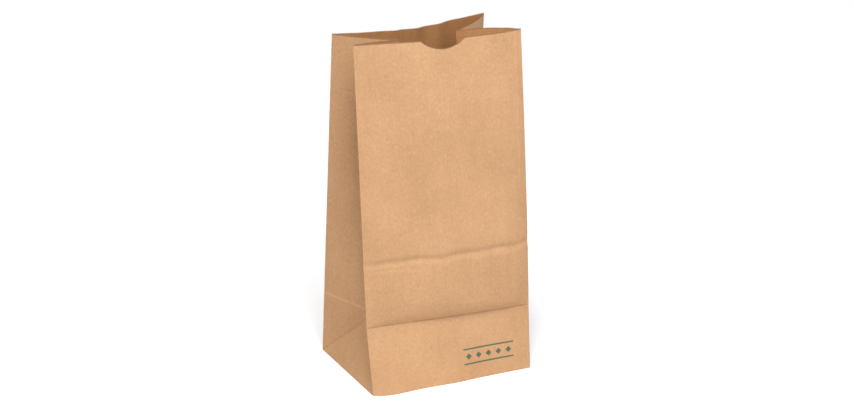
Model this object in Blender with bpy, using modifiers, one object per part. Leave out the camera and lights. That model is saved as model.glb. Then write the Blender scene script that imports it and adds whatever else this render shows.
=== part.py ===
# Brown paper lunch bag, standing open: one sheet of kraft paper, folded and glued
# +Z is up, the front panel with the thumb notch faces -Y, the origin is the centre of the base

import math

import bmesh
import bpy
import numpy as np

# Sheet, in metres
PAPER = 0.00012  # thickness of one layer
WIDTH = 0.1556  # front and back panels
DEPTH = 0.1216  # side panels, each of two half gussets
SIDE_LENGTH = 0.3129  # paper from the base fold to the top edge

# The flat bag folds its base up against the front, which leaves two creases there
LOWER_CREASE = DEPTH / 2
UPPER_CREASE = 2 * LOWER_CREASE

# Each upright fold leans in from the base rectangle: at its foot, at the lower crease and at the top
FRONT_LEFT_FOOT = 0.0060
FRONT_LEFT_CREASE_LEAN = 0.0189
FRONT_LEFT_TOP_LEAN = 0.0400
FRONT_RIGHT_FOOT = 0.0
FRONT_RIGHT_CREASE_LEAN = 0.0050
FRONT_RIGHT_TOP_LEAN = 0.0283
BACK_LEFT_CREASE_LEAN = 0.0064
BACK_LEFT_TOP_LEAN = 0.0354
BACK_RIGHT_CREASE_LEAN = 0.0045
BACK_RIGHT_TOP_LEAN = 0.0238
FRONT_RIGHT_CURVE = 1.25  # above one, this fold leans in more towards the top
CORNER_SOFTNESS = 0.020  # length over which a set back foot bends the base edge

# Gussets: how far the lower triangle tips in, and the slack that bows each half at the mouth
LEFT_PUSH = math.radians(27.4)
RIGHT_PUSH = math.radians(20.8)
LEFT_FRONT_SLACK = 0.0003
LEFT_BACK_SLACK = 0.0004
RIGHT_FRONT_SLACK = 0.0025
RIGHT_BACK_SLACK = 0.0008

# Panels: the front bows out above its crease, the back folds in towards the mouth
FRONT_BOW = 0.0050
BOW_RISE = 0.016  # height over which the bow grows from the straight crease
UPPER_DENT = 0.0008  # depth of the soft upper crease
DENT_REACH = 0.006
BACK_BEND = 0.0145
BACK_BEND_X = -0.0010  # where the back panel folds in most
BACK_BEND_CURVE = 1.15  # above one, the back bulges left of that line
BACK_BEND_RISE = 1.2  # above one, the bend grows faster towards the mouth

# Glued seam up the back panel, a second layer on the outside
SEAM_LEFT = -0.0170
SEAM_WIDTH = 0.0110
SEAM_STEP = 0.0003  # width of the slope at each edge of the overlap

# Base: two glued flaps under the folded ends, the front one outermost
FLAP_OVERLAP = 0.020
FLAP_INSET = 0.0004  # the flaps start this far inside the base edge
FRONT_END_INSET = 0.0009  # and their slanted ends a little further in than the corners,
BACK_END_INSET = 0.0014  # each by its own amount, so that they don't cross on the middle line
BACK_FLAP_TOP = 2.25 * PAPER  # each flap runs a little into the layer above, so that they fuse
FRONT_FLAP_TOP = 2.5 * PAPER

# Thumb notch in the front panel
NOTCH_X = 0.0008
NOTCH_WIDTH = 0.0436
NOTCH_DEPTH = 0.0090
NOTCH_SHOULDER = 0.0020

# Mesh steps
SIDE_CELLS = 6  # across a half gusset, and up to the lower crease
MIDDLE_CELLS = 4  # across the panel between the two base diagonals
CREASE_ROWS = 7
UPPER_ROWS = 12
CREASE_CROWDING = 1.5  # above one, the rows stand closer together just above a crease
UPPER_CROWDING = 1.3
ARC_STEPS = 24
SHOULDER_STEPS = 6
RUN_OUT = 0.4  # share of the arc's slope that is left where a shoulder meets the top edge
WELD = 0.000001  # points nearer than this are one

# Paper surface
PAPER_COLOUR = (0.708, 0.402, 0.212, 1.0)
PAPER_ROUGHNESS = 0.85

BASE_LIFT = 2 * PAPER  # the two flaps lie under the folded ends


def clear_scene():
    for item in list(bpy.data.objects):
        bpy.data.objects.remove(item, do_unlink=True)


def new_collection(name):
    collection = bpy.data.collections.new(name)
    bpy.context.scene.collection.children.link(collection)
    return collection


def kraft_paper():
    material = bpy.data.materials.new("kraft_paper")
    material.use_nodes = True
    shader = material.node_tree.nodes["Principled BSDF"]
    shader.inputs["Base Color"].default_value = PAPER_COLOUR
    shader.inputs["Roughness"].default_value = PAPER_ROUGHNESS
    shader.inputs["Metallic"].default_value = 0.0
    return material


def mix(a, b, share):
    return a + (b - a) * share


def row_lengths():
    """Paper length above the base fold at each row, closer together above a crease."""
    low = np.linspace(0, LOWER_CREASE, SIDE_CELLS + 1)
    middle = mix(LOWER_CREASE, UPPER_CREASE, np.linspace(0, 1, CREASE_ROWS + 1) ** CREASE_CROWDING)
    high = mix(UPPER_CREASE, SIDE_LENGTH, np.linspace(0, 1, UPPER_ROWS + 1) ** UPPER_CROWDING)
    return np.concatenate([low, middle[1:], high[1:]])


def column_places():
    """Places across the front and back panels, with a close pair at each edge of the seam."""
    half = WIDTH / 2
    inner = half - DEPTH / 2
    left = np.linspace(-half, -inner, SIDE_CELLS + 1)
    middle = np.linspace(-inner, inner, MIDDLE_CELLS + 1)
    seam_right = SEAM_LEFT + SEAM_WIDTH
    seam = [SEAM_LEFT, SEAM_LEFT + SEAM_STEP, seam_right - SEAM_STEP, seam_right]
    places = np.concatenate([left, middle[1:], -left[::-1][1:]])
    apart = [x for x in places if min(abs(x - edge) for edge in seam) > 2 * SEAM_STEP]
    return np.sort(np.array(apart + seam))


def fold_depth(rows, side, foot, crease_lean, top_lean, curve=1.0):
    """Y of an upright fold at each row; side is -1 for the front and 1 for the back."""
    low = np.clip(rows / LOWER_CREASE, 0, 1)
    high = np.clip((rows - LOWER_CREASE) / (SIDE_LENGTH - LOWER_CREASE), 0, 1)
    lean = foot + (crease_lean - foot) * low + (top_lean - crease_lean) * high**curve
    return side * (DEPTH / 2 - lean)


def heights(rows, columns, depths):
    """Z at each row: a ruled strip up to a straight crease, then paper that keeps its length."""
    share = columns / WIDTH + 0.5
    rise = np.sqrt(LOWER_CREASE**2 - (depths[SIDE_CELLS] - depths[0]) ** 2)
    crease = mix(rise[0], rise[-1], share)
    strip = rows[: SIDE_CELLS + 1, None] / LOWER_CREASE * crease[None, :]
    above = rows[SIDE_CELLS:]
    steps = np.sqrt(np.diff(above)[:, None] ** 2 - np.diff(depths[SIDE_CELLS:], axis=0) ** 2)
    return BASE_LIFT + np.concatenate([strip, crease + np.cumsum(steps, axis=0)])


def panel(rows, columns, left_fold, right_fold, bulge):
    """Front or back panel: depths between its two folds plus a bulge, then heights."""
    share = columns / WIDTH + 0.5
    depths = mix(left_fold[:, None], right_fold[:, None], share[None, :]) + bulge
    places = np.broadcast_to(columns[None, :], depths.shape)
    return np.stack([places, depths, heights(rows, columns, depths)], axis=2)


def front_bulge(rows, columns):
    """Outward bow above the lower crease, and the dent that the base edge left above it."""
    share = columns / WIDTH + 0.5
    across = 4 * share * (1 - share)
    above = np.clip(rows - LOWER_CREASE, 0, None)
    bow = FRONT_BOW * (1 - np.exp(-above / BOW_RISE))
    dent = UPPER_DENT * np.exp(-(((rows - UPPER_CREASE) / DENT_REACH) ** 2))
    return (dent - bow)[:, None] * across[None, :]


def corner_setback(rows, columns, foot):
    """Bends the foot of the front panel back to a corner that stands in."""
    reach = np.clip(1 - (columns + WIDTH / 2) / CORNER_SOFTNESS, 0, 1)
    share = columns / WIDTH + 0.5
    fade = np.clip(1 - rows / LOWER_CREASE, 0, 1)
    return foot * fade[:, None] * (reach**2 - (1 - share))[None, :]


def back_bulge(rows, columns):
    """Inward bend of the back panel, deepest on one line and at the mouth."""
    half = WIDTH / 2
    left = (BACK_BEND_X - columns) / (BACK_BEND_X + half)
    right = (columns - BACK_BEND_X) / (half - BACK_BEND_X)
    across = np.where(columns < BACK_BEND_X, 1 - np.clip(left, 0, 1) ** BACK_BEND_CURVE, 1 - np.clip(right, 0, 1))
    up = np.clip((rows - LOWER_CREASE) / (SIDE_LENGTH - LOWER_CREASE), 0, 1)
    return -BACK_BEND * up[:, None] ** BACK_BEND_RISE * across[None, :]


def seam_share(columns):
    """One on the doubled strip of the back panel and nought beside it."""
    seam_right = SEAM_LEFT + SEAM_WIDTH
    rise = np.clip((columns - SEAM_LEFT) / SEAM_STEP, 0, 1)
    fall = np.clip((seam_right - columns) / SEAM_STEP, 0, 1)
    return np.minimum(rise, fall)


def meeting_point(centres, reaches, towards):
    """Point at three given distances from three centres, on the side of a direction."""
    a, b, c = centres
    ex = (b - a) / np.linalg.norm(b - a)
    along = np.dot(ex, c - a)
    ey = (c - a) - along * ex
    ey /= np.linalg.norm(ey)
    ez = np.cross(ex, ey)
    span = np.linalg.norm(b - a)
    across = np.dot(ey, c - a)
    x = (reaches[0] ** 2 - reaches[1] ** 2 + span**2) / (2 * span)
    y = (reaches[0] ** 2 - reaches[2] ** 2 + along**2 + across**2 - 2 * along * x) / (2 * across)
    z = math.sqrt(max(reaches[0] ** 2 - x**2 - y**2, 0))
    if np.dot(ez, towards) < 0:
        z = -z
    return a + x * ex + y * ey + z * ez


def bow_of(slack):
    """Rise of a shallow arc over a half gusset whose chord is shorter by the slack."""
    return math.sqrt(3 / 8 * DEPTH / 2 * slack)


def gusset_fold(rows, side, push, front_edge, back_edge, front_slack, back_slack):
    """Centre fold of one gusset: from the tip of the lower triangle to the mouth."""
    half = DEPTH / 2
    tip = np.array([side * (WIDTH / 2 - half * math.sin(push)), 0, BASE_LIFT + half * math.cos(push)])
    mouth = meeting_point(
        [front_edge[-1], back_edge[-1], tip],
        [half - front_slack, half - back_slack, SIDE_LENGTH - LOWER_CREASE],
        np.array([-side, 0, 0]),
    )
    up = np.clip((rows - LOWER_CREASE) / (SIDE_LENGTH - LOWER_CREASE), 0, 1)
    return mix(tip, mouth, up[:, None])


def half_gusset(rows, edge, fold, bow):
    """Half of a side panel, from an upright fold at column 0 to the centre fold."""
    across = np.linspace(0, 1, SIDE_CELLS + 1)
    points = mix(edge[:, None, :], fold[:, None, :], across[None, :, None])
    chord = fold - edge
    level = np.stack([-chord[:, 1], chord[:, 0], np.zeros(len(rows))], axis=1)
    level /= np.linalg.norm(level, axis=1)[:, None]
    up = np.clip((rows - LOWER_CREASE) / (SIDE_LENGTH - LOWER_CREASE), 0, 1)
    swell = bow * up[:, None] * (4 * across * (1 - across))[None, :]
    points += swell[:, :, None] * level[:, None, :]
    return fold_lower_corner(points)


def fold_lower_corner(points):
    """Below the crease a diagonal fold runs from the base corner to the gusset's tip."""
    corner = points[0, 0].copy()
    middle = np.array([corner[0], 0, corner[2]])
    shoulder = points[SIDE_CELLS, 0].copy()
    tip = points[SIDE_CELLS, SIDE_CELLS].copy()
    for i in range(SIDE_CELLS):
        for j in range(SIDE_CELLS + 1):
            up = i / SIDE_CELLS
            across = j / SIDE_CELLS
            if across >= up:
                points[i, j] = corner + across * (middle - corner) + up * (tip - middle)
            else:
                points[i, j] = corner + up * (shoulder - corner) + across * (tip - shoulder)
    return points


def base_sheet(front, back):
    """Base between the feet of the front and back panels."""
    across = np.linspace(0, 1, SIDE_CELLS + 1)[:, None, None]
    middle = front[0] * np.array([1, 0, 1])
    near = mix(front[0][None], middle[None], across)
    far = mix(middle[None], back[0][None], across)
    return np.concatenate([near, far[1:]])


def add_sheet(mesh, layer, points, doubled=None):
    """Adds a grid of points as triangles; doubled weights each point of the seam."""
    count_rows, count_columns = points.shape[:2]
    grid = []
    for i in range(count_rows):
        line = []
        for j in range(count_columns):
            vertex = mesh.verts.new(points[i, j])
            if doubled is not None:
                vertex[layer][0] = doubled[j]
            line.append(vertex)
        grid.append(line)
    for i in range(count_rows - 1):
        for j in range(count_columns - 1):
            a, b = grid[i][j], grid[i][j + 1]
            c, d = grid[i + 1][j + 1], grid[i + 1][j]
            mesh.faces.new((a, b, c))
            mesh.faces.new((a, c, d))


def bag_surfaces():
    """Every part of the sheet as a grid of points on its outer face."""
    rows = row_lengths()
    columns = column_places()
    front_left = fold_depth(rows, -1, FRONT_LEFT_FOOT, FRONT_LEFT_CREASE_LEAN, FRONT_LEFT_TOP_LEAN)
    front_right = fold_depth(rows, -1, FRONT_RIGHT_FOOT, FRONT_RIGHT_CREASE_LEAN, FRONT_RIGHT_TOP_LEAN, FRONT_RIGHT_CURVE)
    back_left = fold_depth(rows, 1, 0, BACK_LEFT_CREASE_LEAN, BACK_LEFT_TOP_LEAN)
    back_right = fold_depth(rows, 1, 0, BACK_RIGHT_CREASE_LEAN, BACK_RIGHT_TOP_LEAN)
    setback = corner_setback(rows, columns, FRONT_LEFT_FOOT)
    front = panel(rows, columns, front_left, front_right, front_bulge(rows, columns) + setback)
    back = panel(rows, columns, back_left, back_right, back_bulge(rows, columns))
    base = base_sheet(front, back)
    raised = PAPER * seam_share(columns)
    back[1:, :, 1] += raised[None, :]

    left_fold = gusset_fold(rows, -1, LEFT_PUSH, front[:, 0], back[:, 0], LEFT_FRONT_SLACK, LEFT_BACK_SLACK)
    right_fold = gusset_fold(rows, 1, RIGHT_PUSH, front[:, -1], back[:, -1], RIGHT_FRONT_SLACK, RIGHT_BACK_SLACK)
    gussets = [
        half_gusset(rows, front[:, 0], left_fold, bow_of(LEFT_FRONT_SLACK)),
        half_gusset(rows, back[:, 0], left_fold, -bow_of(LEFT_BACK_SLACK)),
        half_gusset(rows, front[:, -1], right_fold, -bow_of(RIGHT_FRONT_SLACK)),
        half_gusset(rows, back[:, -1], right_fold, bow_of(RIGHT_BACK_SLACK)),
    ]
    return front, back, base, gussets


def paper_sheet(front, back, base, gussets):
    """The whole sheet as one open surface with its faces pointing out."""
    mesh = bmesh.new()
    layer = mesh.verts.layers.deform.verify()
    doubled = seam_share(column_places())
    add_sheet(mesh, layer, front)
    add_sheet(mesh, layer, back, doubled)
    add_sheet(mesh, layer, base)
    for half in gussets:
        add_sheet(mesh, layer, half)
    bmesh.ops.remove_doubles(mesh, verts=mesh.verts, dist=10 * WELD)
    bmesh.ops.recalc_face_normals(mesh, faces=mesh.faces)
    sheet = bpy.data.meshes.new("paper_bag")
    mesh.to_mesh(sheet)
    mesh.free()
    return sheet


def add_outline(name, points, z_low, z_high, collection):
    """Closed flat outline as a solid between two heights."""
    curve = bpy.data.curves.new(name, "CURVE")
    curve.dimensions = "2D"
    curve.fill_mode = "BOTH"
    curve.extrude = (z_high - z_low) / 2
    spline = curve.splines.new("POLY")
    spline.points.add(len(points) - 1)
    for point, (x, y) in zip(spline.points, points):
        point.co = (x, y, 0, 1)
    spline.use_cyclic_u = True
    guide = bpy.data.objects.new(name + "_curve", curve)
    bpy.context.scene.collection.objects.link(guide)
    guide.location.z = (z_high + z_low) / 2
    bpy.context.view_layer.update()
    depsgraph = bpy.context.evaluated_depsgraph_get()
    solid = bpy.data.meshes.new_from_object(guide.evaluated_get(depsgraph))
    welded = bmesh.new()
    welded.from_mesh(solid)
    bmesh.ops.remove_doubles(welded, verts=welded.verts, dist=WELD)
    welded.to_mesh(solid)
    welded.free()
    outline = bpy.data.objects.new(name, solid)
    outline.matrix_world = guide.matrix_world.copy()
    bpy.data.objects.remove(guide, do_unlink=True)
    outline.hide_render = True
    outline.display_type = "WIRE"
    collection.objects.link(outline)
    return outline


def flap_outline(side):
    """Base flap: its ends run in at 45 degrees from the corners of the base."""
    edge = DEPTH / 2 - FLAP_INSET
    half = WIDTH / 2 - (BACK_END_INSET if side > 0 else FRONT_END_INSET)
    length = edge + FLAP_OVERLAP / 2
    tip = max(half - length, FLAP_OVERLAP / 4)
    free_edge = [(tip, side * (edge - length)), (-tip, side * (edge - length))]
    if side > 0:
        return [(-half, edge), (half, edge)] + free_edge
    corner = [(-half, FRONT_LEFT_FOOT - edge), (CORNER_SOFTNESS - half, -edge)]
    return corner + [(half, -edge)] + free_edge


def notch_outline(top):
    """Shallow arc with rounded shoulders, which run out over the top edge at a slant."""
    half = NOTCH_WIDTH / 2
    radius = (half**2 / NOTCH_DEPTH + NOTCH_DEPTH) / 2 - NOTCH_SHOULDER
    centre = top - NOTCH_DEPTH + radius
    meet = math.atan2(half, centre - (top - NOTCH_SHOULDER))
    points = []
    for i in range(ARC_STEPS + 1):
        angle = meet * (2 * i / ARC_STEPS - 1)
        points.append((radius * math.sin(angle), centre - radius * math.cos(angle)))
    shoulder = []
    for i in range(1, SHOULDER_STEPS + 1):
        angle = meet * (1 - (1 - RUN_OUT) * i / SHOULDER_STEPS)
        x = half - NOTCH_SHOULDER * math.sin(angle)
        shoulder.append((x, top - NOTCH_SHOULDER + NOTCH_SHOULDER * math.cos(angle)))
    x, z = shoulder[-1]
    end = x + NOTCH_SHOULDER
    shoulder.append((end, z + NOTCH_SHOULDER * math.tan(RUN_OUT * meet)))
    left = [(-x, z) for x, z in reversed(shoulder)]
    above = top + NOTCH_DEPTH
    return left + points + shoulder + [(end, above), (-end, above)]


def add_notch_cutter(front, collection):
    """Cutter that passes through the front panel alone."""
    top_row = front[-1]
    middle = np.argmin(np.abs(top_row[:, 0] - NOTCH_X - NOTCH_WIDTH / 2))
    outline = notch_outline(top_row[middle, 2])
    depth = top_row[:, 1].min()
    reach = DEPTH / 8
    cutter = add_outline("notch_cutter", outline, -depth - reach, -depth + reach, collection)
    cutter.data.transform(cutter.matrix_world)
    cutter.matrix_world.identity()
    for vertex in cutter.data.vertices:
        x, z, depth_here = vertex.co
        vertex.co = (x + NOTCH_X, -depth_here, z)
    return cutter


def join_or_cut(bag, other, operation):
    modifier = bag.modifiers.new(other.name, "BOOLEAN")
    modifier.operation = operation
    modifier.solver = "EXACT"
    modifier.object = other


def make_bag():
    parts = new_collection("paper_lunch_bag")
    guides = new_collection("cutters_and_flaps")
    front, back, base, gussets = bag_surfaces()
    bag = bpy.data.objects.new("paper_bag", paper_sheet(front, back, base, gussets))
    parts.objects.link(bag)
    bag.data.materials.append(kraft_paper())
    bag.vertex_groups.new(name="seam")

    wall = bag.modifiers.new("paper_thickness", "SOLIDIFY")
    wall.thickness = 2 * PAPER
    wall.offset = -1
    wall.use_even_offset = True
    wall.thickness_clamp = 1.0
    wall.use_thickness_angle_clamp = True
    wall.vertex_group = "seam"
    wall.thickness_vertex_group = 0.5

    join_or_cut(bag, add_outline("back_flap", flap_outline(1), PAPER, BACK_FLAP_TOP, guides), "UNION")
    join_or_cut(bag, add_outline("front_flap", flap_outline(-1), 0, FRONT_FLAP_TOP, guides), "UNION")
    join_or_cut(bag, add_notch_cutter(front, guides), "DIFFERENCE")
    return bag


clear_scene()
make_bag()
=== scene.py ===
import math

import bpy
import numpy as np
from mathutils import Euler, Matrix, Vector


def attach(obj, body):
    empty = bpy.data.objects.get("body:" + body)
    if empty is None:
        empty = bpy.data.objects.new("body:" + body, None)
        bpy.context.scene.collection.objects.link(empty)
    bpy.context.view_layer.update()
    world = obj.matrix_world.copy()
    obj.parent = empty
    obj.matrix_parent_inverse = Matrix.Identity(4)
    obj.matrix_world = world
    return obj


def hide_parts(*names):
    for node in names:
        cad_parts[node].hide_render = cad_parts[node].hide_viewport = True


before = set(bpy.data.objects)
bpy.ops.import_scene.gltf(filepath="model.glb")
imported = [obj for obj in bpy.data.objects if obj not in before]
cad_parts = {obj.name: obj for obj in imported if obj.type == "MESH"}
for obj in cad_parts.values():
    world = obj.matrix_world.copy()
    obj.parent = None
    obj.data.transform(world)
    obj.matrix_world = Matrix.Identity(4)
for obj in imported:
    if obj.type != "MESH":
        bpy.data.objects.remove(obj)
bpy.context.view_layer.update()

# Lunch bag folded from one sheet of kraft. Lengths in metres, +Z up, front panel towards -Y.
# A place on the sheet is (s, v): s runs round the tube from the glued seam, v runs up from the base fold.
bag = {
    "width": 0.1556,  # front and back panels
    "depth": 0.1216,  # side panels, two half gussets each
    "length": 0.3129,  # paper from the base fold to the top edge
    "paper": 0.00012,
    "layer": 0.00013,  # rise from one layer of the base to the next
    "ground": 0.00002,  # height of the lowest layer
    "baseLift": 0.00041,  # the folded ends lie on the two lips
    "foldRadius": 0.0005,
    # lean of each upright fold: at its foot, at the lower crease, at the top, and how late it leans
    "frontLeft": (0.0060, 0.0189, 0.0400, 1.0),
    "frontRight": (0.0, 0.0050, 0.0283, 1.25),
    "backLeft": (0.0, 0.0064, 0.0354, 1.0),
    "backRight": (0.0, 0.0045, 0.0238, 1.0),
    "setbackReach": 0.020,  # the front left foot stands back over this length of the base edge
    "leftPush": 27.4,  # degrees that the lower triangle of a gusset tips in
    "rightPush": 20.8,
    "slack": {"leftFront": 0.0003, "leftBack": 0.0004, "rightFront": 0.0025, "rightBack": 0.0008},
    "seamLeft": -0.0170,
    "seamRight": -0.0060,
    "seamStep": 0.0006,  # width of the rise onto the inner layer of the seam
    "seamShift": 0.0008,  # the outer layer of the seam stands this much lower
    "seamShiftReach": 0.060,  # and comes level again over this length
    "lipOverlap": 0.020,
    "gussetSeed": 21,
    "cell": 0.0028,  # usual mesh step
}
front = {
    # two outward bows, each with its depth and the height over which it grows from the lower crease
    "wideBow": (0.0062, 0.018),
    "tightBow": (0.0034, 0.0060),
    "tightShare": (0.75, 1.35),  # how much of the tight bow shows at the left and at the right
    "relax": 0.85,  # share of the bows that is gone at the mouth
    # grooves pressed by the free edge of the folded base: place from the upper crease, depth,
    # reach below and above the line
    "groove": (0.0, 0.00150, 0.0036, 0.0034),
    "grooveEnds": 0.45,  # what is left of the groove at the upright folds
    "echo": (-0.0062, 0.00045, 0.0014, 0.0016),
    "echoEnd": (-0.012, 0.030),  # the echo stops at this x, and fades in over this length to its left
    # the upper crease isn't level. Waves: height, radians a metre, phase. Dips: x, depth, half width.
    "waves": [(0.0010, 55, 1.1), (0.0005, 171, 0), (0.0002, 420, 0)],
    "dips": [(-0.0778, 0.0040, 0.021), (-0.0010, 0.0020, 0.028)],
    "waveEnds": 0.008,  # the waves fade over this length beside the upright folds
    "calm": 0.020,  # no ripple within this height of the lower crease
    "seed": 3,
}
back = {
    "bend": 0.0145,  # how far in the middle stands at the mouth
    "bendX": 0.0010,
    "bendCurve": 1.15,  # power that rounds the left part of the bend
    "bendRise": 1.2,  # power with which it grows upwards
    # upright flutes towards the mouth: x, how far each stands out, half width
    "flutes": [
        (-0.058, -0.0016, 0.013),
        (-0.033, 0.0010, 0.007),
        (0.0095, 0.0008, 0.0042),
        (0.0240, -0.0011, 0.0055),
        (0.0400, 0.0010, 0.0060),
    ],
    "seed": 8,
}
# soft is the rounding of its shoulders, reach the height over which the mesh rows give way to it
notch = {"x": 0.0034, "width": 0.0416, "depth": 0.0078, "soft": 0.0002, "reach": 0.034}
teeth = {"pitch": 0.0022, "depth": 0.0009}  # the knife that cuts the tube and its notch is serrated

width, depth, length = bag["width"], bag["depth"], bag["length"]
half, quarter = width / 2, depth / 2
lower, upper = depth / 2, depth  # level creases left by the base while the bag is folded flat


def between(a, b, share):
    return a + (b - a) * share


# Depth of an upright fold: straight from its foot to the lower crease, then leaning in to the top
def foldDepth(v, side, lean):
    foot, atCrease, atTop, late = lean
    low = np.clip(v / lower, 0, 1)
    high = np.clip((v - lower) / (length - lower), 0, None)
    return side * (quarter - foot - (atCrease - foot) * low - (atTop - atCrease) * high**late)


# Slight waviness: a sum of sines with random directions and wavelengths of 25 to 110 mm
def ripple(s, v, seed, size=0.00025, waves=14):
    random = np.random.default_rng(seed)
    total = np.zeros(np.broadcast(s, v).shape)
    for _ in range(waves):
        wavelength = random.uniform(0.025, 0.110)
        angle = random.uniform(0, math.pi)
        phase = random.uniform(0, 2 * math.pi)
        along = s * math.cos(angle) + v * 0.6 * math.sin(angle)
        total += np.sin(2 * math.pi * along / wavelength + phase) * wavelength / 0.110
    return total * size


# How far the upper crease wanders from level: small waves less bell-shaped dips
def waver(x):
    fade = np.clip((half - np.abs(x)) / front["waveEnds"], 0, 1)
    waves = sum(high * np.sin(x * rate + phase) for high, rate, phase in front["waves"]) * fade
    return waves - sum(deep * np.exp(-(((x - at) / wide) ** 2)) for at, deep, wide in front["dips"])


# Groove across the front: bell-shaped, with its own reach below and above the line
def grooveAt(x, v, place, deep, down, up):
    off = v - upper - waver(x) - place
    return deep * np.exp(-((off / np.where(off < 0, down, up)) ** 2))


# Front panel: straight between its folds, plus the pressed grooves, less outward bows that grow above the
# lower crease as one less an exponential and relax to the mouth. The left foot is bent back.
def frontDepth(x, v):
    share = x / width + 0.5
    edgeward = np.clip(np.abs(2 * share - 1), 0, 1)
    across, plateau = 1 - edgeward**2, 1 - edgeward**8
    flat = between(foldDepth(v, -1, bag["frontLeft"]), foldDepth(v, -1, bag["frontRight"]), share)
    above = np.clip(v - lower, 0, None)
    (wide, wideRise), (tight, tightRise) = front["wideBow"], front["tightBow"]
    bow = wide * (1 - np.exp(-above / wideRise)) * across
    tightShare = between(*front["tightShare"], share)
    bow = bow + tight * (1 - np.exp(-above / tightRise)) * plateau * tightShare
    bow = bow * (1 - front["relax"] * above / (length - lower))
    groove = grooveAt(x, v, *front["groove"]) * between(front["grooveEnds"], 1, plateau)
    echoEnd, echoFade = front["echoEnd"]
    groove = groove + grooveAt(x, v, *front["echo"]) * np.clip((echoEnd - x) / echoFade, 0, 1) * plateau
    reach = np.clip(1 - (x + half) / bag["setbackReach"], 0, 1)
    fade = np.clip(1 - v / lower, 0, 1)
    setback = bag["frontLeft"][0] * fade * (reach**2 - (1 - share))
    soft = ripple(x, v, front["seed"]) * across * np.clip(np.abs(v - lower) / front["calm"], 0, 1)
    return flat - bow + groove + setback + soft


# Back panel: straight between its folds, less an inward bend that is deepest on one upright line, plus
# bell-shaped flutes that grow with the square of the height
def backDepth(x, v):
    share = x / width + 0.5
    flat = between(foldDepth(v, 1, bag["backLeft"]), foldDepth(v, 1, bag["backRight"]), share)
    left = np.clip((back["bendX"] - x) / (back["bendX"] + half), 0, 1)
    right = np.clip((x - back["bendX"]) / (half - back["bendX"]), 0, 1)
    across = np.where(x < back["bendX"], 1 - left ** back["bendCurve"], 1 - right)
    up = np.clip((v - lower) / (length - lower), 0, None)
    within = np.clip(4 * share * (1 - share), 0, 1)
    flute = sum(out * np.exp(-(((x - at) / wide) ** 2)) for at, out, wide in back["flutes"])
    bend = back["bend"] * up ** back["bendRise"] * across
    return flat - bend + flute * up**2 * within + ripple(x, v, back["seed"]) * within


# Height of a panel point: a ruled strip up to the straight lower crease, and above it the sum of the
# rises of short lengths of paper, each shortened by how far it leans
def climb(depthOf, x, v, steps=28):
    foot = depthOf(np.array([-half, half]), np.zeros(2))
    shoulder = depthOf(np.array([-half, half]), np.full(2, lower))
    rise = np.sqrt(lower**2 - (shoulder - foot) ** 2)
    crease = between(rise[0], rise[1], x / width + 0.5)
    low = np.clip(v / lower, None, 1) * crease
    top = np.maximum(v, lower)
    stations = between(lower, top, np.linspace(0, 1, steps + 1).reshape(-1, *[1] * top.ndim))
    lean = np.diff(depthOf(np.broadcast_to(x, stations.shape), stations), axis=0)
    rises = np.sqrt(np.clip(np.diff(stations, axis=0) ** 2 - lean**2, 0, None))
    return bag["baseLift"] + low + rises.sum(axis=0)


def panelPoint(depthOf, x, v):
    return np.stack([x, depthOf(x, v), climb(depthOf, x, v)], axis=-1)


# Point at three distances from three centres, on the side of a direction
def meetingPoint(centres, reaches, towards):
    a, b, c = centres
    ex = (b - a) / np.linalg.norm(b - a)
    along = ex @ (c - a)
    ey = (c - a) - along * ex
    ey /= np.linalg.norm(ey)
    ez = np.cross(ex, ey)
    span, across = np.linalg.norm(b - a), ey @ (c - a)
    x = (reaches[0] ** 2 - reaches[1] ** 2 + span**2) / (2 * span)
    y = (reaches[0] ** 2 - reaches[2] ** 2 + along**2 + across**2 - 2 * along * x) / (2 * across)
    z = math.sqrt(max(reaches[0] ** 2 - x**2 - y**2, 0)) * math.copysign(1, ez @ towards)
    return a + x * ex + y * ey + z * ez


# Centre fold of a gusset: the tip of its lower triangle, and the mouth point that both halves and the
# fold's own length allow
def gussetLine(side, push, frontSlack, backSlack):
    tilt = math.radians(push)
    inward, up = quarter * math.sin(tilt), quarter * math.cos(tilt)
    tip = np.array([side * (half - inward), 0, bag["baseLift"] + up])
    corner, top = np.array([side * half]), np.array([length])
    centres = [panelPoint(frontDepth, corner, top)[0], panelPoint(backDepth, corner, top)[0], tip]
    reaches = [quarter - frontSlack, quarter - backSlack, length - lower]
    return tip, meetingPoint(centres, reaches, np.array([-side, 0, 0]))


slack = bag["slack"]
gussets = {
    -1: gussetLine(-1, bag["leftPush"], slack["leftFront"], slack["leftBack"]),
    1: gussetLine(1, bag["rightPush"], slack["rightFront"], slack["rightBack"]),
}
print("gusset mouths", [np.round(line[1], 4).tolist() for line in gussets.values()])


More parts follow.
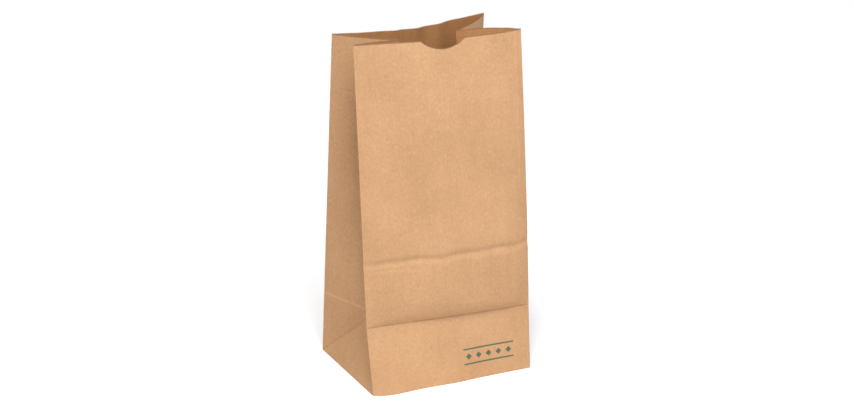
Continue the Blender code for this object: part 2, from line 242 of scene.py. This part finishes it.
# Half of a side panel. Above the crease it is straight between the upright fold and the centre fold,
# plus a parabolic bow that grows to the mouth and takes up the spare paper. Below, a fold runs from the
# base corner to the tip of the lower triangle.
def gussetPoint(side, depthOf, spare, turn, across, v):
    tip, mouth = gussets[side]
    x = np.full(v.shape, side * half)
    edge = panelPoint(depthOf, x, np.maximum(v, lower))
    up = np.clip((v - lower) / (length - lower), 0, None)[..., None]
    fold = between(tip, mouth, up)
    share = across[..., None]
    chord = fold - edge
    level = np.stack([-chord[..., 1], chord[..., 0], np.zeros(v.shape)], axis=-1)
    level /= np.linalg.norm(level, axis=-1)[..., None]
    bow = turn * math.sqrt(3 / 8 * quarter * spare)
    arch = 4 * share * (1 - share)
    wavy = ripple(across * quarter, v, bag["gussetSeed"] + 7 * side)[..., None]
    wavy = wavy * np.clip(arch * 1.6, 0, 1) * np.clip(up * 4, 0, 1)
    above = edge + share * chord + (bow * up * arch + wavy) * level
    corner = panelPoint(depthOf, np.array([side * half]), np.zeros(1))[0]
    shoulder = panelPoint(depthOf, np.array([side * half]), np.full(1, lower))[0]
    middle = np.array([corner[0], 0, corner[2]])
    low = (v / lower)[..., None]
    outer = corner + low * (shoulder - corner) + share * (tip - shoulder)
    inner = corner + share * (middle - corner) + low * (tip - middle)
    below = np.where(share >= low, inner, outer)
    return np.where((v >= lower)[..., None], above, below)


# Zones of the tube, in order of s: its length, and its point for a distance into it
backLeftRun = half + bag["seamRight"]
backRightRun = half - bag["seamLeft"]


def backLeft(d, v):
    x = bag["seamRight"] - d
    raised = np.clip((x - bag["seamLeft"] + bag["seamStep"]) / bag["seamStep"], 0, 1) * bag["layer"]
    return panelPoint(backDepth, np.clip(x, -half, None), v) + raised[..., None] * np.array([0, 1, 0])


def backRight(d, v):
    return panelPoint(backDepth, np.clip(half - d, None, half), v)


def frontPanel(d, v):
    return panelPoint(frontDepth, np.clip(d - half, -half, half), v)


def leftBackHalf(d, v):
    return gussetPoint(-1, backDepth, slack["leftBack"], -1, d / quarter, v)


def leftFrontHalf(d, v):
    return gussetPoint(-1, frontDepth, slack["leftFront"], 1, 1 - d / quarter, v)


def rightFrontHalf(d, v):
    return gussetPoint(1, frontDepth, slack["rightFront"], -1, d / quarter, v)


def rightBackHalf(d, v):
    return gussetPoint(1, backDepth, slack["rightBack"], 1, 1 - d / quarter, v)


zones = [
    (backLeftRun, backLeft),
    (quarter, leftBackHalf),
    (quarter, leftFrontHalf),
    (width, frontPanel),
    (quarter, rightFrontHalf),
    (quarter, rightBackHalf),
    (backRightRun, backRight),
]
starts = np.concatenate([[0], np.cumsum([run for run, _ in zones])])
frontMiddle = starts[3] + half


# Point of the sharply folded tube at any place on the sheet
def sheetPoint(s, v):
    points = np.zeros(s.shape + (3,))
    for i, (run, pointOf) in enumerate(zones):
        inside = (s >= starts[i]) & (s < starts[i + 1])
        if i == 0:
            inside |= s < 0
        if i == len(zones) - 1:
            inside |= s >= starts[-1]
        points[inside] = pointOf(s[inside] - starts[i], v[inside])
    return points


# Folds rounded: the mean of the sharp form over a small patch of the sheet. Flat paper stays as it is.
def softPoint(s, v):
    radius = bag["foldRadius"]
    total = np.zeros(s.shape + (3,))
    for ds, ws in ((-1, 1), (-0.5, 2), (0, 2), (0.5, 2), (1, 1)):
        for dv, wv in ((-1, 1), (0, 2), (1, 1)):
            total += ws * wv * sheetPoint(s + ds * radius, np.maximum(v + dv * radius, 0))
    return total / 32


# Mesh steps, in metres from the line that they gather at
mesh = {
    "fold": [0, 0.00025, 0.0006, 0.0012],
    "shoulder": [-0.0022, -0.0010, -0.0004, 0, 0.0004, 0.0010],
    # rows below and above the upper crease, in tenths of a millimetre
    "grooveBelow": [8, 15, 22, 30, 38, 46, 54, 62, 70, 79, 88],
    "grooveAbove": [0, 8, 16, 25, 35, 46, 58, 72, 88],
    "shoulderClear": 0.0003,  # the usual columns stay this far from the notch's own
    "grooveClear": 0.0100,  # the usual rows stay this far from the groove's own
    "topCell": 0.0011,  # height left free for the toothed row of cells
    "tipClear": 0.0001,  # a tooth point this near a column is left out
    "creaseReach": 0.012,  # the rows follow the wander of the upper crease over this height
    "lip": [0.0003, 0.0008, 0.0020],  # then even steps from lipEven to its edge
    "lipEven": (0.0050, 9),
}


# Stations along a run, close together at both ends, where the folds are
def spread(run):
    ends = np.array(mesh["fold"])
    count = round((run - 2 * ends[-1]) / bag["cell"])
    usual = np.linspace(ends[-1], run - ends[-1], count + 1)[1:-1]
    return np.concatenate([ends, usual, (run - ends)[::-1]])


fromShoulder = np.array(mesh["shoulder"])
shoulders = np.concatenate([fromShoulder - notch["width"] / 2, notch["width"] / 2 - fromShoulder])
shoulders = frontMiddle + notch["x"] + shoulders
columns = np.concatenate([starts[i] + spread(run) for i, (run, _) in enumerate(zones)])
columns = columns[np.abs(columns[:, None] - shoulders).min(axis=1) > mesh["shoulderClear"]]
columns = np.unique(np.concatenate([columns, shoulders]).round(7))
grooveRows = upper + np.concatenate([-np.array(mesh["grooveBelow"]), mesh["grooveAbove"]]) * 0.0001
rows = np.concatenate([spread(lower), lower + spread(length - lower)])
inTopCell = (rows > length - mesh["topCell"]) & (rows < length - 0.00001)
rows = rows[(np.abs(rows - upper) > mesh["grooveClear"]) & ~inTopCell]
rows = np.unique(np.concatenate([rows, grooveRows]).round(7))
print("sheet grid", len(rows), "rows,", len(columns), "columns")


# How far the thumb notch cuts below the top edge: a circular arc, rounded into the edge by the logarithm
# of one plus its exponential
def notchDrop(s):
    x = np.abs(s - frontMiddle - notch["x"])
    wide = notch["width"] / 2
    radius = (wide**2 / notch["depth"] + notch["depth"]) / 2
    arc = notch["depth"] - radius + np.sqrt(np.clip(radius**2 - x**2, 0, None))
    return np.where(x < 1.3 * wide, notch["soft"] * np.logaddexp(0, arc / notch["soft"]), 0)


# Top edge: the notch and the low outer layer at the seam, and apart from them the teeth, as a triangle
# wave along the edge
def cutDrop(s):
    drop = notchDrop(s) + bag["seamShift"] * np.clip(1 - s / bag["seamShiftReach"], 0, 1)
    wave = 1 - np.abs(2 * np.mod(s / teeth["pitch"], 1) - 1)
    return drop, teeth["depth"] * (wave - 0.5)


s, v = np.meshgrid(columns, rows)
x = np.clip(s - frontMiddle, -half, half)
v = v + waver(x) * np.exp(-(((v - upper) / mesh["creaseReach"]) ** 2))
squeeze = np.clip((v - length + notch["reach"]) / notch["reach"], 0, 1)
drop, tooth = cutDrop(s)
v = v - squeeze * drop
v[-1] -= tooth[-1]
tube = softPoint(s, v)
print("tube ready")

# Further points along the top edge, one at each tip and root of the teeth
tips = np.arange(1, round(2 * starts[-1] / teeth["pitch"])) * teeth["pitch"] / 2
tips = tips[np.abs(tips[:, None] - columns[None, :]).min(axis=1) > mesh["tipClear"]]
tipDrop, tipTooth = cutDrop(tips)
tipPlaces = np.stack([tips, length - tipDrop - tipTooth], -1)
tipPoints = softPoint(tipPlaces[:, 0], tipPlaces[:, 1])


# Triangles of a grid of vertex numbers; rising picks each cell's diagonal
def triangles(index, rising):
    a, b = index[:-1, :-1], index[:-1, 1:]
    c, d = index[1:, 1:], index[1:, :-1]
    rising = np.broadcast_to(rising, a.shape)
    one = np.where(rising[..., None], np.stack([a, b, c], -1), np.stack([a, b, d], -1))
    two = np.where(rising[..., None], np.stack([a, c, d], -1), np.stack([b, c, d], -1))
    return np.concatenate([one.reshape(-1, 3), two.reshape(-1, 3)])


# Whole sheet: the tube, its toothed top row of cells, then the lips and ends that its foot folds into.
# The front lip lies outermost, then the back lip with its own glued seam, then the two ends.
def buildSheet():
    index = np.arange(tube.shape[0] * tube.shape[1]).reshape(tube.shape[:2])
    zone = np.searchsorted(starts, columns[:-1], side="right") - 1
    points = [tube.reshape(-1, 3), tipPoints]
    places = [np.stack([s, v], -1).reshape(-1, 2), tipPlaces]
    faces = triangles(index[:-1], np.isin(zone, [1, 4, 0])[None, :]).tolist()
    cellOf = np.searchsorted(columns, tips) - 1
    for j in range(len(columns) - 1):
        inCell = (index.size + np.flatnonzero(cellOf == j))[::-1].tolist()
        low, high = index[-2].tolist(), index[-1].tolist()
        faces.append([low[j], low[j + 1], high[j + 1], *inCell, high[j]])
    used = index.size + len(tips)
    reach = quarter + bag["lipOverlap"] / 2
    evenStart, evenCount = mesh["lipEven"]
    out = np.concatenate([mesh["lip"], np.linspace(evenStart, reach, evenCount)])[:, None]
    leaves = {  # first and last zone, and the layer of the base
        "frontLip": (3, 3, 0),
        "backLipOuter": (0, 0, 1),
        "backLipInner": (6, 6, 2),
        "leftEnd": (1, 2, 3),
        "rightEnd": (4, 5, 3),
    }
    for name, (a, b, layer) in leaves.items():
        first, last = (np.argmin(np.abs(columns - starts[i])) for i in (a, b + 1))
        foot = tube[0, first : last + 1]
        x, y = foot[None, :, 0], foot[None, :, 1]
        if "Lip" in name:
            far = reach - quarter if a == 3 else quarter - reach
            flat = [x * (1 - out / half), between(y, far, out / reach)]
        else:
            flat = [x - np.sign(x[0, 0]) * out, y + 0 * out]
        height = bag["ground"] + layer * bag["layer"] + 0 * x + 0 * out
        if name == "backLipInner":
            height -= bag["layer"] * np.clip((x - bag["seamRight"]) / bag["seamStep"], 0, 1)
        below = used + np.arange(out.size * foot.shape[0]).reshape(out.size, -1)
        points.append(np.stack([*flat, height], -1).reshape(-1, 3))
        onSheet = np.broadcast_arrays(columns[None, first : last + 1], -out)
        places.append(np.stack(onSheet, -1).reshape(-1, 2))
        faces += triangles(np.concatenate([below[::-1], index[:1, first : last + 1]]), True).tolist()
        used += below.size
    return np.concatenate(points), np.concatenate(places), faces


points, places, faces = buildSheet()
print("sheet has", len(points), "points,", len(faces), "faces a side")


def makeMesh(name, points, faces):
    data = bpy.data.meshes.new(name)
    data.from_pydata(points.tolist(), [], faces)
    data.polygons.foreach_set("use_smooth", np.ones(len(data.polygons), bool))
    piece = bpy.data.objects.new(name, data)
    bpy.context.scene.collection.objects.link(piece)
    return piece


# The place on the sheet as a UV map, in metres
def addPlaces(piece, places):
    layer = piece.data.uv_layers.new(name="sheet")
    corner = np.zeros(len(piece.data.loops), np.int32)
    piece.data.loops.foreach_get("vertex_index", corner)
    layer.data.foreach_set("uv", places[corner].astype(np.float32).ravel())


# Gives the sheet its thickness inwards and applies it. The points that this adds are the inner face, and
# they follow the first ones in the same order.
def addWall(piece, onCutEdge):
    wall = piece.modifiers.new("paper", "SOLIDIFY")
    wall.thickness = bag["paper"]
    wall.offset = -1
    bpy.context.view_layer.update()
    evaluated = piece.evaluated_get(bpy.context.evaluated_depsgraph_get())
    shell = bpy.data.meshes.new_from_object(evaluated)
    piece.modifiers.clear()
    piece.data = shell
    inner = np.arange(len(shell.vertices)) >= len(onCutEdge)
    for name, values in (("innerFace", inner), ("cutEdge", np.tile(onCutEdge, 2))):
        attribute = shell.attributes.new(name, "FLOAT", "POINT")
        attribute.data.foreach_set("value", values.astype(np.float32))
    triangleCount = sum(len(face.vertices) - 2 for face in shell.polygons)
    print("wall has", len(shell.vertices), "points,", triangleCount, "triangles")


bagPiece = makeMesh("kraftBag", points, faces)
addPlaces(bagPiece, places)
tubePoints = tube.shape[0] * tube.shape[1]
onCutEdge = np.zeros(len(points), bool)
# top row of the tube, and the teeth
onCutEdge[tubePoints - tube.shape[1] : tubePoints + len(tips)] = True
addWall(bagPiece, onCutEdge)
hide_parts("paper_bag")
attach(bagPiece, "root")


# sRGB hex to the linear colour that a shader takes
def linear(hexColour):
    value = np.array([int(hexColour[i : i + 2], 16) for i in (1, 3, 5)]) / 255
    value = np.where(value <= 0.04045, value / 12.92, ((value + 0.055) / 1.055) ** 2.4)
    return (*value.tolist(), 1.0)


# Adds a node, sets its properties or sockets by name or number, and links sockets into it
def addNode(tree, kind, settings=None, links=None):
    node = tree.nodes.new(kind)
    for name, value in (settings or {}).items():
        if isinstance(name, int) or name in node.inputs:
            node.inputs[name].default_value = value
        else:
            setattr(node, name, value)
    for name, socket in (links or {}).items():
        tree.links.new(socket, node.inputs[name])
    return node


kraft = {
    # lowest colour of the ramp: painted shade, reached at the sawn top edge
    "edgeShade": "#7f5d3e",
    "dark": "#a37951",
    "light": "#c69b70",
    "ramp": {"edgeShade": 0.0, "dark": 0.2, "light": 0.8},  # tone at which each colour stands
    "inside": "#ffedcc",  # tint of the inner face: painted shade, darker and warmer, for the inside of the bag that stands in shade
    "edge": -0.9,  # added to the tone at the sawn top edge: painted shade, darker along the teeth
    "roughness": 0.84,
    # each layer of grain: patch width and height, share of the tone, share of the surface relief
    "grain": {
        "cloud": (0.045, 0.060, 0.40, 0.0),
        "mottle": (0.0060, 0.0080, 0.20, 0.0),
        "flock": (0.0019, 0.0026, 0.37, 0.3),
        "fibre": (0.0009, 0.0034, 0.36, 0.5),
        "streak": (0.0013, 0.0700, 0.15, 0.2),
    },
    "cockle": (0.0045, 0.050, 0.00010),  # fine upright waves that the web dries with
    "relief": 0.00005,
    "wander": (140.0, 0.0008),  # folds wander from their lines: noise scale, breadth
}
# Folds as lines on the sheet: from, to, half width, how much paler (below nought darker: painted shade in
# creases and beside the seam's free edges), how deep
middleLeft, middleRight = starts[2], starts[5]
creases = [
    *[((starts[i], 0), (starts[i], length), 0.0007, 0.10, 0.2) for i in (1, 3, 4, 6)],
    *[((middle, -0.06), (middle, length), 0.0007, 0.08, 0.4) for middle in (middleLeft, middleRight)],
    ((starts[1], lower), (starts[3], lower), 0.0020, 0.20, 0.2),
    ((starts[4], lower), (starts[6], lower), 0.0020, 0.20, 0.2),
    # painted shade: a darker line in the lower crease across the front
    ((starts[3], lower), (starts[4], lower), 0.0008, -0.30, 0.6),
    # painted shade: darker lines in the valleys of the diagonal folds of the gussets' lower triangles
    ((starts[1], 0), (middleLeft, lower), 0.0022, -0.16, 0.3),
    ((starts[3], 0), (middleLeft, lower), 0.0022, -0.14, 0.3),
    ((middleRight, lower), (starts[4], 0), 0.0022, -0.16, 0.3),
    ((middleRight, lower), (starts[6], 0), 0.0022, -0.14, 0.3),
    ((0, 0), (starts[7], 0), 0.0009, 0.12, 0.2),
    # free edges of the seam: painted shadow, a darker line beside each
    *[((edge, 0), (edge, length), 0.0006, -0.18, 0.3) for edge in (0.0002, starts[7] - 0.0002)],
    # a soft upright line high on the front
    ((frontMiddle + 0.0700, 0.18), (frontMiddle + 0.0714, length), 0.0008, 0.16, 0.3),
]
flexoPrint = {
    "ink": "#1c5440",
    "middle": (0.0360, 0.0215),  # x on the front panel, height
    "bar": (0.0250, 0.0007, 0.0068),  # half length, half height, distance from the middle line
    "diamond": (0.0029, 0.0100),  # half diagonal, pitch
    "soft": 0.00015,  # half width of its soft edges
    "cover": 0.88,  # how much of the paper's colour it hides
}


# Uncoated natural kraft, machine finished: a matt brown with denser and thinner flocks of pulp and a fine
# upright grain of fibres that run along the web. Folds show as paler lines, with painted shade in some
# creases, beside the seam's free edges, along the sawn top edge and on the inner face, and a plain
# one-colour flexo print lies on the front.
def makeKraft():
    material = bpy.data.materials.new("uncoatedNaturalKraft")
    material.use_nodes = True
    tree = material.node_tree
    shader = tree.nodes["Principled BSDF"]
    place = addNode(tree, "ShaderNodeUVMap", {"uv_map": "sheet"}).outputs["UV"]
    layers = kraft["grain"].values()
    tone = addNode(tree, "ShaderNodeValue").outputs[0]
    tone.default_value = 0.5 - sum(share for _, _, share, _ in layers) / 2
    relief = addNode(tree, "ShaderNodeValue").outputs[0]
    relief.default_value = 0.0
    for wide, tall, share, rise in layers:
        scaled = addNode(
            tree,
            "ShaderNodeMapping",
            {"Scale": (1 / wide, 1 / tall, 1.0)},
            {"Vector": place},
        )
        noise = addNode(
            tree,
            "ShaderNodeTexNoise",
            {"Scale": 1.0, "Detail": 2.0},
            {"Vector": scaled.outputs[0]},
        )
        tone = addNode(
            tree,
            "ShaderNodeMath",
            {"operation": "MULTIPLY_ADD", 1: share},
            {0: noise.outputs[0], 2: tone},
        ).outputs[0]
        relief = addNode(
            tree,
            "ShaderNodeMath",
            {"operation": "MULTIPLY_ADD", 1: rise},
            {0: noise.outputs[0], 2: relief},
        ).outputs[0]

    # place on the sheet, shaken by a fraction of a millimetre
    scale, broad = kraft["wander"]
    shake = addNode(tree, "ShaderNodeTexNoise", {"Scale": scale, "Detail": 1.0}, {"Vector": place})
    shaken = addNode(
        tree,
        "ShaderNodeVectorMath",
        {"operation": "MULTIPLY_ADD", 1: (broad, broad, 0), 2: (-broad / 2, -broad / 2, 0)},
        {0: shake.outputs["Color"]},
    )
    shaken = addNode(
        tree,
        "ShaderNodeVectorMath",
        {"operation": "ADD"},
        {0: shaken.outputs[0], 1: place},
    ).outputs[0]
    for start, end, wide, paler, deep in creases:
        start, end = np.array([*start, 0.0]), np.array([*end, 0.0])
        run = float(np.linalg.norm(end - start))
        along = (end - start) / run
        across = (-along[1], along[0], 0)
        offset = addNode(
            tree,
            "ShaderNodeVectorMath",
            {"operation": "SUBTRACT", 1: start},
            {0: shaken},
        ).outputs[0]
        off = addNode(
            tree,
            "ShaderNodeVectorMath",
            {"operation": "DOT_PRODUCT", 1: across},
            {0: offset},
        ).outputs["Value"]
        off = addNode(tree, "ShaderNodeMath", {"operation": "ABSOLUTE"}, {0: off}).outputs[0]
        line = addNode(
            tree,
            "ShaderNodeMapRange",
            {"interpolation_type": "SMOOTHSTEP", "From Max": wide, "To Min": 1.0, "To Max": 0.0},
            {"Value": off},
        ).outputs[0]
        far = addNode(
            tree,
            "ShaderNodeVectorMath",
            {"operation": "DOT_PRODUCT", 1: along},
            {0: offset},
        ).outputs["Value"]
        far = addNode(
            tree,
            "ShaderNodeMath",
            {"operation": "SUBTRACT", 1: run / 2},
            {0: far},
        ).outputs[0]
        far = addNode(tree, "ShaderNodeMath", {"operation": "ABSOLUTE"}, {0: far}).outputs[0]
        ends = addNode(
            tree,
            "ShaderNodeMapRange",
            {"From Min": run / 2, "From Max": run / 2 + wide, "To Min": 1.0, "To Max": 0.0},
            {"Value": far},
        ).outputs[0]
        line = addNode(
            tree,
            "ShaderNodeMath",
            {"operation": "MULTIPLY"},
            {0: line, 1: ends},
        ).outputs[0]
        # paler or darker along each line; the darker lines are painted shade
        tone = addNode(
            tree,
            "ShaderNodeMath",
            {"operation": "MULTIPLY_ADD", 1: paler},
            {0: line, 2: tone},
        ).outputs[0]
        relief = addNode(
            tree,
            "ShaderNodeMath",
            {"operation": "MULTIPLY_ADD", 1: -deep},
            {0: line, 2: relief},
        ).outputs[0]
    # painted shade: the tone drops along the sawn top edge and its teeth
    cutEdge = addNode(tree, "ShaderNodeAttribute", {"attribute_name": "cutEdge"}).outputs["Fac"]
    tone = addNode(
        tree,
        "ShaderNodeMath",
        {"operation": "MULTIPLY_ADD", 1: kraft["edge"]},
        {0: cutEdge, 2: tone},
    ).outputs[0]
    ramp = addNode(tree, "ShaderNodeValToRGB", {}, {"Fac": tone})
    ramp.color_ramp.elements.new(kraft["ramp"]["dark"])
    for element, (name, position) in zip(ramp.color_ramp.elements, kraft["ramp"].items()):
        element.position = position
        element.color = linear(kraft[name])
    # painted shade: the inner face takes the darker, warmer tint, as the inside of the bag lies in shade
    innerFace = addNode(tree, "ShaderNodeAttribute", {"attribute_name": "innerFace"}).outputs["Fac"]
    paper = addNode(
        tree,
        "ShaderNodeMix",
        {"data_type": "RGBA", "blend_type": "MULTIPLY", 7: linear(kraft["inside"])},
        {0: innerFace, 6: ramp.outputs["Color"]},
    ).outputs[2]

    # print: two bars and a row of diamonds between them, with soft edges and the paper's flocks showing
    # through. The shape is the distance to the nearer of the two, below nought inside it, cut off at both
    # ends.
    midX, midV = flexoPrint["middle"]
    barLong, barHigh, barOff = flexoPrint["bar"]
    point, pitch = flexoPrint["diamond"]
    soft, cover = flexoPrint["soft"], flexoPrint["cover"]
    local = addNode(
        tree,
        "ShaderNodeVectorMath",
        {"operation": "SUBTRACT", 1: (frontMiddle + midX, midV, 0)},
        {0: place},
    )
    axes = addNode(tree, "ShaderNodeSeparateXYZ", {}, {0: local.outputs[0]})
    offX = addNode(
        tree,
        "ShaderNodeMath",
        {"operation": "ABSOLUTE"},
        {0: axes.outputs["X"]},
    ).outputs[0]
    offV = addNode(
        tree,
        "ShaderNodeMath",
        {"operation": "ABSOLUTE"},
        {0: axes.outputs["Y"]},
    ).outputs[0]
    fromBar = addNode(
        tree,
        "ShaderNodeMath",
        {"operation": "SUBTRACT", 1: barOff},
        {0: offV},
    ).outputs[0]
    fromBar = addNode(tree, "ShaderNodeMath", {"operation": "ABSOLUTE"}, {0: fromBar}).outputs[0]
    bars = addNode(
        tree,
        "ShaderNodeMath",
        {"operation": "SUBTRACT", 1: barHigh},
        {0: fromBar},
    ).outputs[0]
    nearest = addNode(
        tree,
        "ShaderNodeMath",
        {"operation": "WRAP", 1: pitch / 2, 2: -pitch / 2},
        {0: axes.outputs["X"]},
    ).outputs[0]
    nearest = addNode(tree, "ShaderNodeMath", {"operation": "ABSOLUTE"}, {0: nearest}).outputs[0]
    diamonds = addNode(
        tree,
        "ShaderNodeMath",
        {"operation": "ADD"},
        {0: nearest, 1: offV},
    ).outputs[0]
    diamonds = addNode(
        tree,
        "ShaderNodeMath",
        {"operation": "SUBTRACT", 1: point},
        {0: diamonds},
    ).outputs[0]
    shape = addNode(
        tree,
        "ShaderNodeMath",
        {"operation": "MINIMUM"},
        {0: bars, 1: diamonds},
    ).outputs[0]
    sides = addNode(
        tree,
        "ShaderNodeMath",
        {"operation": "SUBTRACT", 1: barLong},
        {0: offX},
    ).outputs[0]
    shape = addNode(
        tree,
        "ShaderNodeMath",
        {"operation": "MAXIMUM"},
        {0: shape, 1: sides},
    ).outputs[0]
    inked = addNode(
        tree,
        "ShaderNodeMapRange",
        {"From Min": -soft, "From Max": soft, "To Min": cover, "To Max": 0.0},
        {"Value": shape},
    )
    colour = addNode(
        tree,
        "ShaderNodeMix",
        {"data_type": "RGBA", "blend_type": "MIX"},
        {"Factor": inked.outputs[0]},
    )
    tree.links.new(paper, colour.inputs[6])
    colour.inputs[7].default_value = linear(flexoPrint["ink"])
    tree.links.new(colour.outputs[2], shader.inputs["Base Color"])

    shader.inputs["Roughness"].default_value = kraft["roughness"]
    shader.inputs["IOR"].default_value = 1.5
    bump = addNode(
        tree,
        "ShaderNodeBump",
        {"Strength": 1.0, "Distance": kraft["relief"]},
        {"Height": relief},
    )
    wide, tall, rise = kraft["cockle"]
    scaled = addNode(
        tree,
        "ShaderNodeMapping",
        {"Scale": (1 / wide, 1 / tall, 1.0)},
        {"Vector": place},
    )
    waves = addNode(
        tree,
        "ShaderNodeTexNoise",
        {"Scale": 1.0, "Detail": 1.0},
        {"Vector": scaled.outputs[0]},
    )
    both = addNode(
        tree,
        "ShaderNodeBump",
        {"Strength": 1.0, "Distance": rise},
        {"Height": waves.outputs[0], "Normal": bump.outputs[0]},
    )
    tree.links.new(both.outputs["Normal"], shader.inputs["Normal"])
    return material


bagPiece.data.materials.append(makeKraft())
print("kraft ready")

stage = {
    "floor": "#fdfdfd",
    "roughness": 0.9,
    "size": 6.0,  # half side
}


def makeFloor():
    data = bpy.data.meshes.new("paleFloor")
    r = stage["size"]
    data.from_pydata([(-r, -r, 0), (r, -r, 0), (r, r, 0), (-r, r, 0)], [], [(0, 1, 2, 3)])
    floor = bpy.data.objects.new("paleFloor", data)
    bpy.context.scene.collection.objects.link(floor)
    material = bpy.data.materials.new("matPaleCard")
    material.use_nodes = True
    shader = material.node_tree.nodes["Principled BSDF"]
    shader.inputs["Base Color"].default_value = linear(stage["floor"])
    shader.inputs["Roughness"].default_value = stage["roughness"]
    data.materials.append(material)


makeFloor()

studio = {
    "world": ("#fffaf3", 0.14),  # colour, strength
    # each far softbox: degrees to the right of the front, degrees up, softness in degrees, strength
    "top": (-37, 65, 25, 2.76),
    "side": (75, 70, 30, 0.15),
    "front": (0, 22, 30, 0.42),
    # near softbox above the front, a little cooler: place, size, power in watts, colour
    "near": ((-0.10, -0.58, 0.94), 0.4, 5.6, "#ecf1ff"),
}


# Large far softbox, as a soft sun
def addSoftbox(name, around, up, softness, strength):
    lamp = bpy.data.lights.new(name, "SUN")
    lamp.angle = math.radians(softness)
    lamp.energy = strength
    box = bpy.data.objects.new(name, lamp)
    around, up = math.radians(around), math.radians(up)
    towards = Vector((math.sin(around) * math.cos(up), -math.cos(around) * math.cos(up), math.sin(up)))
    box.location = towards * 2
    box.rotation_euler = towards.to_track_quat("Z", "Y").to_euler()
    bpy.context.scene.collection.objects.link(box)


# Near softbox, turned to the middle of the bag
def addNearSoftbox(place, size, power, colour):
    lamp = bpy.data.lights.new("nearSoftbox", "AREA")
    lamp.size = size
    lamp.energy = power
    lamp.color = linear(colour)[:3]
    box = bpy.data.objects.new("nearSoftbox", lamp)
    box.location = place
    towards = Vector(place) - Vector((0, 0, length / 2))
    box.rotation_euler = towards.to_track_quat("Z", "Y").to_euler()
    bpy.context.scene.collection.objects.link(box)


def addWorld(colour, strength):
    world = bpy.data.worlds.new("studio")
    bpy.context.scene.world = world
    world.use_nodes = True
    background = world.node_tree.nodes["Background"]
    background.inputs["Color"].default_value = linear(colour)
    background.inputs["Strength"].default_value = strength


for name in ("top", "side", "front"):
    addSoftbox(name + "Softbox", *studio[name])
addNearSoftbox(*studio["near"])
addWorld(*studio["world"])
bpy.context.scene.view_settings.view_transform = "Standard"

camera = {
    "place": (-0.6661, -1.3721, 0.6639),
    "yaw": 0.43938,  # radians to the right of +Y
    "pitch": 0.329195,  # radians below the horizon
    "roll": -0.004289,
    "sensor": 36,
    "lens": 1782.8 / 854 * 36,  # focal length in pixels, over the width in pixels, times the sensor
    "shift": (0.0272, 0.0097),
}


def addCamera():
    data = bpy.data.cameras.new("photoView")
    data.lens = camera["lens"]
    data.sensor_width = camera["sensor"]
    data.shift_x, data.shift_y = camera["shift"]
    data.clip_start = 0.05
    item = bpy.data.objects.new("photoView", data)
    turn = Euler((math.pi / 2 - camera["pitch"], 0, -camera["yaw"])).to_matrix()
    item.rotation_euler = (turn @ Matrix.Rotation(camera["roll"], 3, "Z")).to_euler()
    item.location = camera["place"]
    bpy.context.scene.collection.objects.link(item)
    bpy.context.scene.camera = item


addCamera()
print("stage, lights and camera ready")
